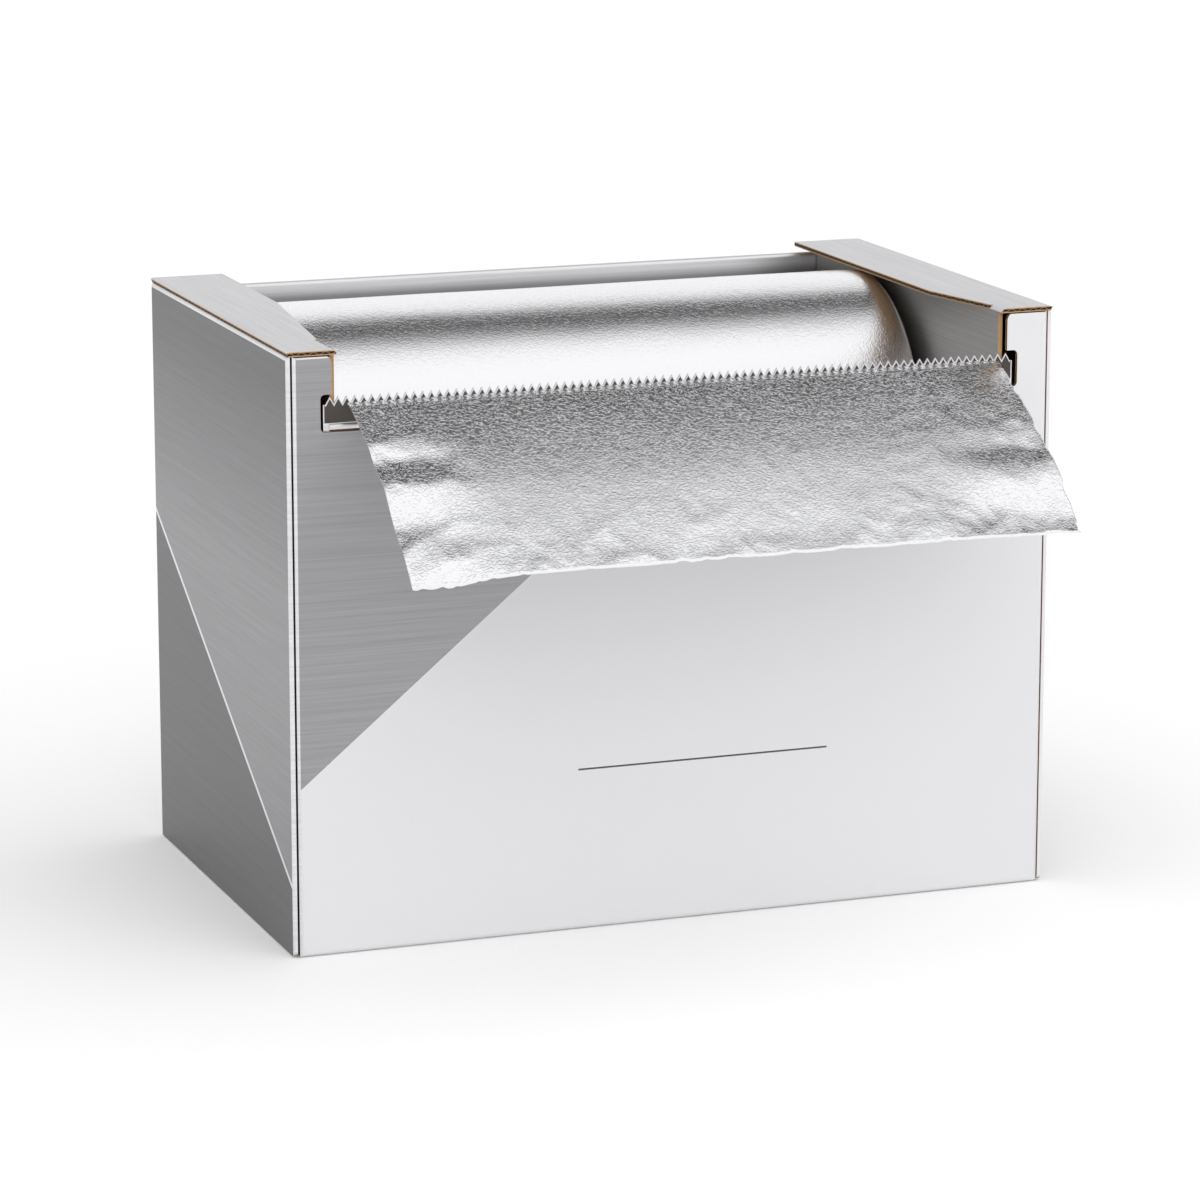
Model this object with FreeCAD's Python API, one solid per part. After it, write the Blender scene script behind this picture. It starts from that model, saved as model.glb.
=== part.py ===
import FreeCAD, Part
import math
import os

# Aluminium foil roll in its folded card dispenser, with a toothed tear-off edge.
# Millimetres, +Z up, +X to the right, the open front faces -Y.
# The origin is the centre of the face that the carton stands on.

# Carton, folded from one sheet of thin fluted card
carton_depth = 86.0
carton_height = 104.5
board = 0.8
fold_radius = 1.2
tab_top_radius = 0.6
end_edge_radius = 0.5
end_corner_radius = 1.0
raw_edge_setback = 0.4
floor_gap = 0.3
ply_gap = 0.6
front_flap_reach = 26.0
bottom_flap_height = 13.0
end_hem_height = 12.0
rail_drop = 1.1
rail_hem_height = 15.0
tight_fold_flat = 0.04

# Window in the front panel, with the slots that hold the blade's ends
window_drop = 13.2
left_tab_width = 7.9
right_tab_width = 8.8
tab_corner_radius = 1.4
slot_height = 6.5
slot_reach = 2.0
slot_corner_radius = 0.8

# End fittings, each a top strip, a bearing wall and a foot folded from one card
left_wall_inset = 8.8
right_wall_inset = 9.9
strip_lip_turn = 25.0
strip_tongue_inset = 13.7
left_tongue_front = 8.0
left_taper_front = -32.0
right_tongue_front = -20.0
right_taper_front = -38.0
wall_front_gap = 0.7
wall_back_gap = 1.2
foot_width = 5.5
bearing_clearance = 0.3

# Core tube that the foil is wound on
core_radius = 15.0
core_wall = 2.3
core_reach = 4.0

# Wound foil
foil_width = 120.0
roll_radius = 27.5
roll_back_gap = 0.7
roll_top_gap = 0.4
winding_clearance = 0.05
left_end_play = 0.3
right_end_play = 2.0
turn_bands = 5
turn_step = 0.35

# Sheet drawn off the roll, up behind the front panel and over the teeth
sheet_thickness = 0.3
sheet_side_gap = 0.3
sheet_over_valley = 0.4
sheet_blade_gap = 0.1
sheet_bite = 0.05
flap_reach = 36.0
flap_drop = 24.3
flap_rise = 0.5

# Blade, a toothed steel strip with a stiffening rib
blade_thickness = 0.4
blade_end_gap = 0.7
blade_below_sill = 7.0
blade_above_sill = 4.6
tooth_pitch = 1.5
tooth_height = 1.3
tooth_root = 1.0
rib_height = 1.3
rib_depth = 0.55
rib_seat_gap = 0.05
rib_end_inset = 1.0

# How far a cutting shape runs past what it cuts
overcut = 2.0

# Faces of the carton, which is as long as the foil with its end plays and its two bearing walls' insets
carton_length = left_wall_inset + left_end_play + foil_width + right_end_play + right_wall_inset
outer_x = carton_length / 2
inner_x = outer_x - board
front_y = -carton_depth / 2
back_y = carton_depth / 2
panel_back_y = front_y + board
shoulder_radius = board
strip_top = carton_height + board
rail_height = carton_height - rail_drop
sill_height = carton_height - window_drop
window_left = -outer_x + left_tab_width
window_right = outer_x - right_tab_width
slot_left = window_left - slot_reach
slot_right = window_right + slot_reach

# Places that follow from the carton and from the wound foil
left_wall_x = -outer_x + left_wall_inset
roll_left = left_wall_x + left_end_play
roll_right = roll_left + foil_width
right_wall_x = outer_x - right_wall_inset
roll_centre_y = back_y - 2 * board - roll_back_gap - roll_radius
roll_centre_z = carton_height - roll_top_gap - roll_radius
blade_left = slot_left + blade_end_gap
blade_right = slot_right - blade_end_gap
valley_z = sill_height + blade_above_sill
tip_z = valley_z + tooth_height
blade_back_y = panel_back_y + blade_thickness
sheet_drift = right_end_play - sheet_side_gap
sheet_left = roll_left + sheet_drift
sheet_right = roll_right + sheet_drift
crossing_z = valley_z + sheet_over_valley


def block(x_range, y_range, z_range):
    """A box from its lowest to its highest corner."""
    low = [min(r) for r in (x_range, y_range, z_range)]
    size = [abs(r[1] - r[0]) for r in (x_range, y_range, z_range)]
    return Part.makeBox(*size, FreeCAD.Vector(*low))


def prism(points, direction):
    """A closed outline carried along a direction."""
    corners = [FreeCAD.Vector(*p) for p in points]
    return Part.Face(Part.makePolygon(corners + corners[:1])).extrude(FreeCAD.Vector(*direction))


def rounded(solid, radius, wanted):
    """Rounds the straight edges for which wanted(start, end) holds."""
    edges = [e for e in solid.Edges if wanted(e.Vertexes[0].Point, e.Vertexes[-1].Point)]
    return solid.makeFillet(radius, edges)


def near(a, b):
    return abs(a - b) < 1e-6


def along(axis, start, end):
    """Tells whether an edge runs along one axis."""
    others = [i for i in range(3) if i != axis]
    return all(near(start[i], end[i]) for i in others)


def past(low, high):
    """A stretch that runs past both ends of what it cuts."""
    return low - overcut, high + overcut


def edge_round(axis, edge, inward, radius, span):
    """What rounding takes off an edge along one axis; edge and inward are for the other two axes."""
    ranges, centre, direction = [span] * 3, [span[0]] * 3, [0] * 3
    direction[axis] = 1
    for i, place, way in zip([i for i in range(3) if i != axis], edge, inward):
        ranges[i] = (place - way * overcut, place + way * radius)
        centre[i] = place + way * radius
    rod = Part.makeCylinder(radius, span[1] - span[0], FreeCAD.Vector(*centre), FreeCAD.Vector(*direction))
    return block(*ranges).cut(rod)


def folded_wrap():
    """Front, bottom and back, with the glue flaps at their ends, as an open tray."""
    skin = block((-inner_x, inner_x), (front_y, back_y), (0, carton_height))
    across = past(-inner_x, inner_x)
    cuts = [edge_round(0, (front_y, 0), (1, 1), fold_radius, across),
            edge_round(0, (back_y, 0), (-1, 1), fold_radius, across),
            edge_round(0, (front_y, carton_height), (1, -1), tab_top_radius, across)]
    for side in (-1, 1):
        x = side * inner_x
        cuts.append(edge_round(1, (x, 0), (-side, 1), fold_radius, past(front_y, back_y)))
        cuts.append(edge_round(2, (x, front_y), (-side, 1), fold_radius, past(0, carton_height)))
    ply_x = inner_x - board
    cuts.append(block((-ply_x, ply_x), (panel_back_y, back_y - board), (board, carton_height + overcut)))
    return skin.cut(cuts)


def flap_windows():
    """What the end plies leave open between the front flap, the bottom flap and the top hem."""
    ply_x = inner_x - board
    flap_back = front_y + front_flap_reach
    hem_bottom = carton_height - end_hem_height
    top = carton_height + overcut
    pieces = []
    for side in (-1, 1):
        span = (side * ply_x, side * inner_x)
        pieces.append(block(span, (flap_back, back_y - board), (bottom_flap_height, hem_bottom)))
        pieces.append(block(span, (flap_back, flap_back + ply_gap), (board, top)))
        pieces.append(block(span, (back_y - 2 * board - ply_gap, back_y - board), (board, top)))
    return pieces


def end_panels():
    """The outer end panels and the back that they are hinged to, with rounded shoulders and front edges."""
    raw_front = front_y + raw_edge_setback
    skin = block((-outer_x, outer_x), (raw_front, back_y), (floor_gap, carton_height))
    cuts = [edge_round(0, (raw_front, floor_gap), (1, 1), end_corner_radius, past(-outer_x, outer_x))]
    upright = past(0, carton_height)
    for side in (-1, 1):
        x = side * outer_x
        cuts.append(edge_round(1, (x, carton_height), (-side, -1), shoulder_radius, past(front_y, back_y)))
        cuts.append(edge_round(2, (x, raw_front), (-side, 1), end_edge_radius, upright))
        cuts.append(edge_round(2, (x, back_y), (-side, -1), fold_radius, upright))
    depth = (raw_front - overcut, back_y - board)
    cuts.append(block((-inner_x, inner_x), depth, (0, carton_height + overcut)))
    return skin.cut(cuts)


def back_rail():
    """The back's hem, folded inwards and down, with a round top edge."""
    rail_front = back_y - 2 * board
    hem_bottom = rail_height - rail_hem_height
    hem = block((-inner_x, inner_x), (rail_front, back_y), (hem_bottom, rail_height))
    radius = board - tight_fold_flat
    across = past(-inner_x, inner_x)
    return hem.cut([edge_round(0, (rail_front, rail_height), (1, -1), radius, across),
                    edge_round(0, (back_y, rail_height), (-1, -1), radius, across)])


def window_cut():
    """The front opening: a wide window over a sill, with a slot under each tab."""
    through = (front_y - overcut, panel_back_y)
    window = block((window_left, window_right), through, (sill_height, carton_height + overcut))
    slot = block((slot_left, slot_right), through, (sill_height, sill_height + slot_height))
    slot = rounded(slot, slot_corner_radius, lambda start, end: along(1, start, end))
    return window.fuse(slot)


def tab_corner(edge_x, inward):
    """What rounding takes off a tab's upper corner, beside the window."""
    span = (front_y - overcut, panel_back_y)
    return edge_round(1, (edge_x, carton_height), (inward, -1), tab_corner_radius, span)


def carton_body():
    """The whole folded carton."""
    wrap = folded_wrap().cut(flap_windows())
    across = (back_y - 2 * board, back_y)
    above_rail = block((-inner_x, inner_x), across, (rail_height - board, carton_height))
    body = wrap.fuse(end_panels()).cut(above_rail).fuse(back_rail())
    body = body.cut([window_cut(), tab_corner(window_left, -1), tab_corner(window_right, 1)])
    return body.removeSplitter()


def strip_corner(wall_x, side, taper_front):
    """What the top fold's rounding takes off, from the front to where the tongue starts."""
    span = (front_y - overcut, taper_front)
    return edge_round(1, (wall_x, strip_top), (side, -1), board - tight_fold_flat, span)


def strip_lip(side):
    """The strip's outer margin, bent down over the end panel's rounded shoulder."""
    turn = math.radians(strip_lip_turn)
    inner, outer = shoulder_radius, shoulder_radius + board

    def point(radius, angle):
        x = outer_x - shoulder_radius + radius * math.sin(angle)
        z = carton_height - shoulder_radius + radius * math.cos(angle)
        return FreeCAD.Vector(side * x, front_y, z)

    over = Part.Arc(point(outer, 0), point(outer, turn / 2), point(outer, turn)).toShape()
    cut_edge = Part.makeLine(point(outer, turn), point(inner, turn))
    under = Part.Arc(point(inner, turn), point(inner, turn / 2), point(inner, 0)).toShape()
    root = Part.makeLine(point(inner, 0), point(outer, 0))
    return Part.Face(Part.Wire([over, cut_edge, under, root])).extrude(FreeCAD.Vector(0, carton_depth, 0))


def end_fitting(side, wall_x, tongue_front, taper_front):
    """A card fitting at one end: top strip with its tongue, bearing wall with the core's hole, and foot."""
    tongue_x = side * (outer_x - strip_tongue_inset)
    strip_x = (wall_x, side * (outer_x - shoulder_radius))
    strip = block(strip_x, (front_y, back_y), (carton_height, strip_top))
    tongue = prism([(wall_x, taper_front, carton_height), (tongue_x, tongue_front, carton_height),
                    (tongue_x, back_y, carton_height), (wall_x, back_y, carton_height)], (0, 0, board))
    wall_y = (panel_back_y + wall_front_gap, back_y - board - wall_back_gap)
    wall = block((wall_x, wall_x + side * board), wall_y, (board, strip_top))
    foot = block((wall_x, wall_x + side * foot_width), wall_y, (board, 2 * board))
    fitting = strip.fuse([strip_lip(side), tongue, wall, foot]).cut(strip_corner(wall_x, side, taper_front))
    hole_start = FreeCAD.Vector(wall_x - side * overcut, roll_centre_y, roll_centre_z)
    hole_radius = core_radius + bearing_clearance
    hole = Part.makeCylinder(hole_radius, board + 2 * overcut, hole_start, FreeCAD.Vector(side, 0, 0))
    return fitting.cut(hole).removeSplitter()


def tube(radius, bore, x_start, x_end):
    """A tube about the roll's axis."""
    start = FreeCAD.Vector(x_start, roll_centre_y, roll_centre_z)
    axis = FreeCAD.Vector(1, 0, 0)
    return Part.makeCylinder(radius, x_end - x_start, start, axis).cut(
        Part.makeCylinder(bore, x_end - x_start, start, axis))


def core_tube():
    """The core, which turns in the holes of the two bearing walls."""
    left_end = left_wall_x - board - core_reach
    right_end = right_wall_x + board + core_reach
    return tube(core_radius, core_radius - core_wall, left_end, right_end)


def wound_turns():
    """The turns, whose edges stand in shallow steps on both ends of the roll."""
    bore = core_radius + winding_clearance
    band = (roll_radius - bore) / turn_bands
    left, right = [], []
    for i in range(turn_bands):
        inset = turn_step * (i % 2)
        inner, outer = bore + i * band, bore + (i + 1) * band
        left += [(roll_left + inset, 0, inner), (roll_left + inset, 0, outer)]
        right += [(roll_right - inset, 0, inner), (roll_right - inset, 0, outer)]
    outline = [FreeCAD.Vector(*p) for p in left + right[::-1]]
    face = Part.Face(Part.makePolygon(outline + outline[:1]))
    turns = face.revolve(FreeCAD.Vector(0, 0, 0), FreeCAD.Vector(1, 0, 0), 360)
    turns.translate(FreeCAD.Vector(0, roll_centre_y, roll_centre_z))
    return turns


def sheet_riser():
    """The sheet from the roll's lower front up to the back of the blade, tangent to the outer turn."""
    top = FreeCAD.Vector(0, blade_back_y + sheet_blade_gap, crossing_z)
    axis = FreeCAD.Vector(0, roll_centre_y, roll_centre_z)
    away = top - axis
    outer_turn = roll_radius - sheet_bite
    turn = math.atan2(away.z, away.y) + math.acos(outer_turn / away.Length)
    outward = FreeCAD.Vector(0, math.cos(turn), math.sin(turn))
    foot = axis + outward * outer_turn
    corners = [FreeCAD.Vector(roll_left, foot.y, foot.z), FreeCAD.Vector(roll_right, foot.y, foot.z),
               FreeCAD.Vector(sheet_right, top.y, top.z), FreeCAD.Vector(sheet_left, top.y, top.z)]
    return prism([tuple(c) for c in corners], tuple(outward * -sheet_thickness))


def sheet_crossing():
    """The short level stretch of sheet that the teeth come up through."""
    span = (panel_back_y - sheet_thickness, blade_back_y + sheet_thickness + sheet_blade_gap)
    return block((sheet_left, sheet_right), span, (crossing_z, crossing_z + sheet_thickness))


def sheet_flap():
    """The free end of the sheet, which stands out from the blade and bends gently down."""
    start_y = panel_back_y - sheet_blade_gap
    start_z = crossing_z + sheet_thickness
    end_y, end_z = start_y - flap_reach, start_z - flap_drop
    length = math.hypot(flap_reach, flap_drop)
    across = (-flap_drop / length, flap_reach / length)

    def point(share, lift):
        y = start_y + (end_y - start_y) * share + across[0] * lift
        z = start_z + (end_z - start_z) * share + across[1] * lift
        return FreeCAD.Vector(sheet_left, y, z)

    lower = -sheet_thickness
    top = Part.Arc(point(0, 0), point(0.5, flap_rise), point(1, 0)).toShape()
    tip = Part.makeLine(point(1, 0), point(1, lower))
    under = Part.Arc(point(1, lower), point(0.5, flap_rise + lower), point(0, lower)).toShape()
    root = Part.makeLine(point(0, lower), point(0, 0))
    return Part.Face(Part.Wire([top, tip, under, root])).extrude(FreeCAD.Vector(foil_width, 0, 0))


def tooth_row(clearance):
    """The blade's toothed upper stretch; with a clearance it is the row of cuts that the teeth make."""
    count = int((blade_right - blade_left) / tooth_pitch)
    start_x = (blade_left + blade_right - count * tooth_pitch) / 2
    base = valley_z - tooth_root
    y = panel_back_y - clearance
    valley, tip = valley_z + clearance, tip_z + clearance
    outline = [(blade_left, y, base), (blade_left, y, valley), (start_x, y, valley)]
    for i in range(count):
        outline.append((start_x + (i + 0.5) * tooth_pitch, y, tip))
        outline.append((start_x + (i + 1) * tooth_pitch, y, valley))
    outline += [(blade_right, y, valley), (blade_right, y, base)]
    return prism(outline, (0, blade_thickness + 2 * clearance, 0))


def foil_roll():
    """The wound turns and the drawn-off sheet, one length of foil."""
    foil = wound_turns().fuse([sheet_riser(), sheet_crossing(), sheet_flap()])
    return foil.cut(tooth_row(sheet_blade_gap))


def cutter_blade():
    """The toothed strip behind the sill, with a rounded rib that lies over the panel's cut edge."""
    strip = block((blade_left, blade_right), (panel_back_y, blade_back_y),
                  (sill_height - blade_below_sill, valley_z - tooth_root))
    x = blade_left + rib_end_inset
    low = sill_height + rib_seat_gap
    foot = FreeCAD.Vector(x, panel_back_y, low)
    crown = FreeCAD.Vector(x, panel_back_y - rib_depth, low + rib_height / 2)
    head = FreeCAD.Vector(x, panel_back_y, low + rib_height)
    profile = Part.Face(Part.Wire([Part.Arc(foot, crown, head).toShape(), Part.makeLine(head, foot)]))
    rib = profile.extrude(FreeCAD.Vector(blade_right - blade_left - 2 * rib_end_inset, 0, 0))
    return strip.fuse([tooth_row(0), rib]).removeSplitter()


def main():
    nodes = {
        "carton_body": carton_body(),
        "left_end_fitting": end_fitting(-1, left_wall_x, left_tongue_front, left_taper_front),
        "right_end_fitting": end_fitting(1, right_wall_x, right_tongue_front, right_taper_front),
        "cutter_blade": cutter_blade(),
        "core_tube": core_tube(),
        "foil_roll": foil_roll(),
    }
    os.makedirs("parts", exist_ok=True)
    for name, shape in nodes.items():
        shape.exportStep("parts/" + name + ".step")
        solids = len(shape.Solids)
        print(name, "solids", solids, "valid", shape.isValid(), "volume", round(shape.Volume, 1))


main()
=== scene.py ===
import math

import bmesh
import bpy
from bpy.props import FloatProperty, FloatVectorProperty, PointerProperty
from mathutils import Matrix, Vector, noise


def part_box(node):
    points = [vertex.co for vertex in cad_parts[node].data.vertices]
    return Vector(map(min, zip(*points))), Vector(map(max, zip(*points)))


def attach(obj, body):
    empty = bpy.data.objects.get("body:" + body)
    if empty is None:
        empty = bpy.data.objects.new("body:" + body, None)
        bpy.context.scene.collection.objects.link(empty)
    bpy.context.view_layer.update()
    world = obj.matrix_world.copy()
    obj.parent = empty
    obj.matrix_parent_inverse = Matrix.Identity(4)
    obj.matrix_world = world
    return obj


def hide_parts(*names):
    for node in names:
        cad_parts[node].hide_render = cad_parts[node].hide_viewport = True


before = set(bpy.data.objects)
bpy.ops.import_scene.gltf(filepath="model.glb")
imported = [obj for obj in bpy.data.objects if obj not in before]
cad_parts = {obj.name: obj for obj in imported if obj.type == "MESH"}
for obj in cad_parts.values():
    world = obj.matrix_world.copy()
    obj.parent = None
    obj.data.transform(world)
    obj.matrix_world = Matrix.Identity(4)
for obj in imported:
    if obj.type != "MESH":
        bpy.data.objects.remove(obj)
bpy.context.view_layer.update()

bl_info = {
    "name": "Foil roll dispenser",
    "version": (1, 0, 0),
    "blender": (4, 5, 0),
    "location": "3D View > Sidebar > Foil box",
    "description": "Dresses a roll of foil in its folded card dispenser",
    "category": "Object",
}

MM = 0.001
CARTON_LOW, CARTON_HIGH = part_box("carton_body")
BLADE_LOW, BLADE_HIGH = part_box("cutter_blade")
FOIL_LOW, FOIL_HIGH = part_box("foil_roll")
CORE_LOW, CORE_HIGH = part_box("core_tube")

# The wound roll is a cylinder along X that touches the top, bottom and back of its box
ROLL_RADIUS = (FOIL_HIGH.z - FOIL_LOW.z) / 2
ROLL_Y = FOIL_HIGH.y - ROLL_RADIUS
ROLL_Z = FOIL_LOW.z + ROLL_RADIUS
CORE_RADIUS = (CORE_HIGH.z - CORE_LOW.z) / 2


def linear(hex_colour):
    """An sRGB hex colour as linear red, green, blue and alpha."""
    channels = [int(hex_colour[i:i + 2], 16) / 255 for i in (1, 3, 5)]
    return tuple(c / 12.92 if c <= 0.04045 else ((c + 0.055) / 1.055) ** 2.4 for c in channels) + (1.0,)


def length_setting(name, description, default_mm):
    """A length that a user may change, kept in metres."""
    return FloatProperty(name=name, description=description, default=default_mm * MM,
                         unit="LENGTH", precision=5)


def colour_setting(name, description, hex_colour):
    """A colour that a user may change."""
    return FloatVectorProperty(name=name, description=description, default=linear(hex_colour),
                               size=4, subtype="COLOR", min=0.0, max=1.0)


class CartonSettings(bpy.types.PropertyGroup):
    """Sizes and colours of the printed card."""
    board: length_setting("Board", "Thickness of the fluted card", 0.8)
    flute: length_setting("Flute pitch", "Distance from one flute to the next", 2.1)
    setback: length_setting("Edge setback", "How far the end panels stop behind the front", 0.4)
    sill: length_setting("Sill", "Height of the front panel under the window", 91.3)
    rail_hem: length_setting("Rail hem", "Height of the folded hem on the back", 15.0)
    cut_edge: length_setting("Cut edge", "Rounding that the die leaves along a cut", 0.14)
    slant_start: length_setting("Slant start", "Height of the white field's edge at the left corner", 28.5)
    slant_rise: FloatProperty(name="Slant rise", description="Rise of that edge for each unit to the right",
                              default=0.825)
    end_line: length_setting("End line", "Height of the pale line at the back of an end panel", 63.1)
    end_rise: FloatProperty(name="End line rise", description="Rise of that line towards the back",
                            default=0.59)
    end_line_width: length_setting("End line width", "Width of the pale line", 0.8)
    rule_height: length_setting("Rule height", "Height of the thin printed rule on the front", 28.9)
    rule_left: length_setting("Rule left", "Left end of the rule", -18.7)
    rule_right: length_setting("Rule right", "Right end of the rule", 28.0)
    rule_width: length_setting("Rule width", "Thickness of the rule", 0.32)
    white: colour_setting("White print", "White field on the front", "#E9E9EB")
    silver: colour_setting("Silver print", "Brushed silver field on the front", "#A2A1A3")
    strip_silver: colour_setting("Strip silver", "Silver on the top strips and the back", "#D2D2D4")
    # Painted shade: a darker copy of the strip silver for the bearing walls inside the box
    shaded_wall_silver: colour_setting("Wall silver", "Silver on the bearing walls", "#949290")
    # Painted highlight: a lighter silver that stands for light caught on the rounded folds and cut rims
    fold_highlight: colour_setting("Fold", "Silver along the rounded folds, where it is rubbed bright", "#E8E8EA")
    # Painted shade for the lower part of the back rail and its hem
    rail_foot_shade: colour_setting("Rail foot", "Silver low on the back rail", "#9C9C9E")
    # Painted shade: the upper field darkens to this towards the top of the panel
    end_top_shade: colour_setting("End top", "Upper field of an end panel, at its top", "#6C6C6E")
    end_light: colour_setting("Light end", "Upper field of an end panel, above the line", "#98989A")
    end_dark: colour_setting("Dark end", "Lower field of an end panel", "#6C6C6E")
    rule_grey: colour_setting("Rule", "Thin printed rule", "#4A4A4C")
    kraft: colour_setting("Kraft", "Brown paper of the card", "#A07D58")


class FoilSettings(bpy.types.PropertyGroup):
    """Sizes of the foil and of the teeth that hold it."""
    drift: length_setting("Drift", "How far the sheet moves sideways between roll and blade", 1.7)
    rise: length_setting("Rise", "How far the sheet arches up on its way out", 1.2)
    drop: length_setting("Drop", "Height that the free end comes down", 24.3)
    thickness: length_setting("Thickness", "Thickness of the foil as drawn", 0.06)
    tooth_pitch: length_setting("Tooth pitch", "Distance from one tooth to the next", 1.5)
    tooth_height: length_setting("Tooth height", "Height of a tooth", 1.3)
    blade_thickness: length_setting("Blade", "Thickness of the blade", 0.4)
    rib_top: length_setting("Rib top", "Height of the rib's upper edge on the blade", 92.75)
    valley: length_setting("Valley", "How far the foil sinks between the teeth", 0.3)
    fall: length_setting("Fall", "How far the foil is pressed down just in front of the teeth", 0.6)
    emboss: length_setting("Emboss", "Size of the embossed grain", 0.7)
    crumple: length_setting("Crumple", "Height of the folds near the free edges", 0.55)
    bright: colour_setting("Foil", "Bare aluminium", "#F4F4F6")


class StageSettings(bpy.types.PropertyGroup):
    """Camera and light."""
    azimuth: FloatProperty(name="Azimuth", description="How far the camera stands round to the left",
                           default=math.radians(20.30), unit="ROTATION")
    elevation: FloatProperty(name="Elevation", description="How far the camera looks down",
                             default=math.radians(12.67), unit="ROTATION")
    lens: FloatProperty(name="Lens", description="Focal length on a 36 mm sensor", default=147.6)
    key_strength: FloatProperty(name="Key", description="Strength of the soft light from above the front",
                                default=1.75)
    room_light: FloatProperty(name="Room", description="Light of the white room on matt surfaces",
                              default=0.55)


def add_node(tree, kind, sockets=None, **settings):
    """Adds a node with its settings; a socket takes a value or the output of another node."""
    node = tree.nodes.new(kind)
    for name, value in settings.items():
        setattr(node, name, value)
    for name, value in (sockets or {}).items():
        if isinstance(value, bpy.types.NodeSocket):
            tree.links.new(value, node.inputs[name])
        else:
            node.inputs[name].default_value = value
    return node


def start_material(name):
    """A new material with its shader, and the object coordinates in metres."""
    material = bpy.data.materials.new(name)
    material.use_nodes = True
    tree = material.node_tree
    tree.nodes.clear()
    shader = add_node(tree, "ShaderNodeBsdfPrincipled")
    add_node(tree, "ShaderNodeOutputMaterial", {"Surface": shader.outputs["BSDF"]})
    place = add_node(tree, "ShaderNodeTexCoord").outputs["Object"]
    return material, tree, shader, place


def streaks(tree, place, scale):
    """Long fine streaks between 0 and 1, as on brushed metal."""
    stretched = add_node(tree, "ShaderNodeMapping", {"Vector": place, "Scale": scale})
    grain = add_node(tree, "ShaderNodeTexNoise",
                     {"Vector": stretched.outputs[0], "Scale": 1.0, "Detail": 3.0, "Roughness": 0.6})
    return grain.outputs["Fac"]


def tint(tree, share, low, high, colour):
    """A colour made darker or lighter, from low to high, as share goes from 0.25 to 0.75."""
    level = add_node(tree, "ShaderNodeMapRange", {"Value": share, "From Min": 0.25, "From Max": 0.75,
                                                  "To Min": low, "To Max": high})
    grey = add_node(tree, "ShaderNodeCombineColor", dict.fromkeys(range(3), level.outputs[0]))
    mixed = add_node(tree, "ShaderNodeMix", {0: 1.0, 6: colour, 7: grey.outputs[0]},
                     data_type="RGBA", blend_type="MULTIPLY")
    return mixed.outputs[2]


def above_slant(tree, along, height, start, rise, soft):
    """1 above a slanting line, 0 below it, with an edge as wide as soft."""
    line = add_node(tree, "ShaderNodeMath", {0: along, 1: rise, 2: start}, operation="MULTIPLY_ADD")
    over = add_node(tree, "ShaderNodeMath", {0: height, 1: line.outputs[0]}, operation="SUBTRACT")
    edge = add_node(tree, "ShaderNodeMapRange", {"Value": over.outputs[0], "From Min": -soft / 2,
                                                 "From Max": soft / 2})
    return edge.outputs[0]


BRUSH_LENGTH = 1 / (28 * MM)
BRUSH_WIDTH = 1 / (0.34 * MM)
ALONG_PANELS = (BRUSH_LENGTH, BRUSH_LENGTH, BRUSH_WIDTH)
ACROSS_TOP = (BRUSH_WIDTH, BRUSH_LENGTH, BRUSH_LENGTH)
PRINT_EDGE = 0.12 * MM
SILVER_METAL = 0.75
FILM_ROUGHNESS = 0.42


def silver_print(name, colour, direction=ALONG_PANELS):
    """Silver ink on card under a matt film: it gleams softly and shows fine printed streaks."""
    material, tree, shader, place = start_material(name)
    grain = streaks(tree, place, direction)
    tree.links.new(tint(tree, grain, 0.86, 1.08, colour), shader.inputs["Base Color"])
    shader.inputs["Metallic"].default_value = SILVER_METAL
    shader.inputs["Roughness"].default_value = FILM_ROUGHNESS
    return material


def front_print(settings):
    """The front: brushed silver above a slanting edge, white below it, and a thin grey rule."""
    material, tree, shader, place = start_material("front_print")
    axes = add_node(tree, "ShaderNodeSeparateXYZ", {0: place})
    x, z = axes.outputs[0], axes.outputs[2]
    start = settings.slant_start - settings.slant_rise * CARTON_LOW.x
    silver_share = above_slant(tree, x, z, start, settings.slant_rise, PRINT_EDGE)
    grain = streaks(tree, place, ALONG_PANELS)
    silver = tint(tree, grain, 0.86, 1.08, settings.silver)
    middle = (settings.rule_left + settings.rule_right) / 2
    half = (settings.rule_right - settings.rule_left) / 2
    in_length = add_node(tree, "ShaderNodeMath", {0: x, 1: middle, 2: half}, operation="COMPARE")
    in_width = add_node(tree, "ShaderNodeMath", {0: z, 1: settings.rule_height, 2: settings.rule_width / 2},
                        operation="COMPARE")
    on_rule = add_node(tree, "ShaderNodeMath", {0: in_length.outputs[0], 1: in_width.outputs[0]},
                       operation="MULTIPLY")
    white = add_node(tree, "ShaderNodeMix", {0: on_rule.outputs[0], 6: settings.white, 7: settings.rule_grey},
                     data_type="RGBA")
    print_colour = add_node(tree, "ShaderNodeMix", {0: silver_share, 6: white.outputs[2], 7: silver},
                            data_type="RGBA")
    tree.links.new(print_colour.outputs[2], shader.inputs["Base Color"])
    gleam = add_node(tree, "ShaderNodeMath", {0: silver_share, 1: SILVER_METAL}, operation="MULTIPLY")
    tree.links.new(gleam.outputs[0], shader.inputs["Metallic"])
    shader.inputs["Roughness"].default_value = FILM_ROUGHNESS
    return material


# Depths below the top where the painted highlight ends and where the painted shade is full
RAIL_HIGHLIGHT_DOWN_TO = 2.6 * MM
RAIL_SHADE_FROM = 4.4 * MM


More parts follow.
